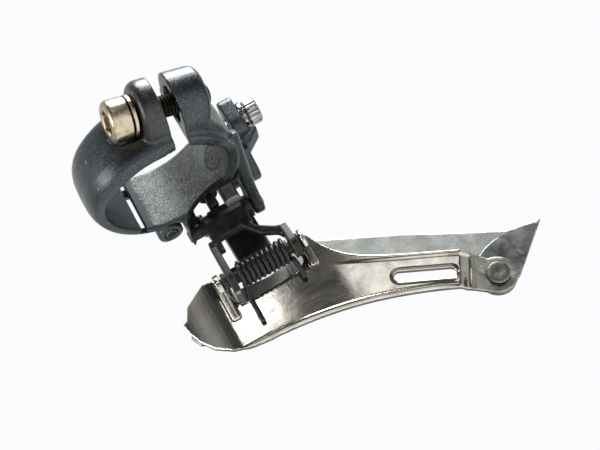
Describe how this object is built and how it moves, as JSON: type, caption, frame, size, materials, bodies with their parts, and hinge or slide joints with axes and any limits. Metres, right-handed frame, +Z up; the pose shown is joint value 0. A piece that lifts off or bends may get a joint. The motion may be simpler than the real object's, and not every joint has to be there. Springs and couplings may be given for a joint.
{
  "type": "bicycle front derailleur",
  "caption": "Band-clamp bicycle front derailleur: hinged painted clamp, parallelogram links, coil return spring and a two-plate polished chain cage.",
  "frame": {"origin": "centre of the clamp bore, on the seat-tube axis at mid height of the band", "axes": "+X forward on the bicycle, +Y to its left (the side away from the chain), +Z up along the seat tube"},
  "size_m": [0.1018, 0.0704, 0.0863],
  "materials": {
    "body_paint": "dark blue-grey metallic paint, satin",
    "cage_steel": "polished nickel plate",
    "bridge_steel": "dull plated steel",
    "link_steel": "black oxide, satin",
    "pin_steel": "dark plated",
    "zinc_steel": "yellow zinc plate, bright",
    "bright_steel": "bright nickel plate",
    "black_nylon": "matte black"
  },
  "bodies": {
    "base": {"clamp_body": "body_paint", "band_hinge_pin": "pin_steel", "clamp_insert": "pin_steel", "outer_upper_pin": "pin_steel", "inner_upper_pin": "pin_steel", "outer_upper_shim": "pin_steel"},
    "band": {"clamp_band": "body_paint"},
    "bolt": {"clamp_bolt": "zinc_steel", "clamp_washer": "zinc_steel"},
    "outer_arm": {"outer_link": "body_paint"},
    "anchor": {"cable_bolt": "bright_steel", "cable_washer": "bright_steel"},
    "inner_arm": {"inner_link": "link_steel"},
    "cage": {"cage_inner_plate": "cage_steel", "cage_outer_plate": "bridge_steel", "tail_rivet": "pin_steel", "front_rivet": "pin_steel", "outer_lower_pin": "pin_steel", "inner_lower_pin": "pin_steel", "outer_lower_shim": "pin_steel", "inner_lower_front_shim": "pin_steel", "inner_lower_rear_shim": "pin_steel", "spring_sleeve": "black_nylon", "return_spring": "link_steel"},
    "low_screw": {"low_limit_screw": "link_steel"},
    "high_screw": {"high_limit_screw": "link_steel"}
  },
  "joints": [
    {"name": "cage_swing", "type": "hinge", "parent": "base", "child": "outer_arm", "pos_m": [0, -0.034, -0.0028], "axis": [-1, 0, 0], "range_deg": [0, 36], "stiffness_Nm_per_rad": 0.1, "springref_deg": -57.3},
    {"name": "inner_arm_swing", "type": "hinge", "parent": "base", "child": "inner_arm", "pos_m": [0, -0.0255, -0.008], "axis": [-1, 0, 0], "range_deg": [0, 36]},
    {"name": "cage_level", "type": "hinge", "parent": "outer_arm", "child": "cage", "pos_m": [0, -0.0295, -0.0214], "axis": [-1, 0, 0], "range_deg": [-36, 0]},
    {"name": "clamp_bolt_travel", "type": "slide", "parent": "base", "child": "bolt", "axis": [0.9511, 0.309, 0], "range_m": [0, 0.003]},
    {"name": "band_opening", "type": "hinge", "parent": "base", "child": "band", "pos_m": [0.005, -0.0206, 0], "axis": [0, 0, -1], "range_deg": [0, 3.5]},
    {"name": "anchor_bolt_travel", "type": "slide", "parent": "outer_arm", "child": "anchor", "axis": [-1, 0, 0], "range_m": [0, 0.002]},
    {"name": "low_screw_travel", "type": "slide", "parent": "base", "child": "low_screw", "axis": [0, 0, 1], "range_m": [0, 0.0025]},
    {"name": "high_screw_travel", "type": "slide", "parent": "base", "child": "high_screw", "axis": [0, 0, 1], "range_m": [0, 0.0025]}
  ],
  "couplings": [
    {"joint": "inner_arm_swing", "follows": "cage_swing", "ratio": 1},
    {"joint": "cage_level", "follows": "cage_swing", "ratio": -1},
    {"joint": "band_opening", "follows": "clamp_bolt_travel", "rad_per_m": 20}
  ]
}
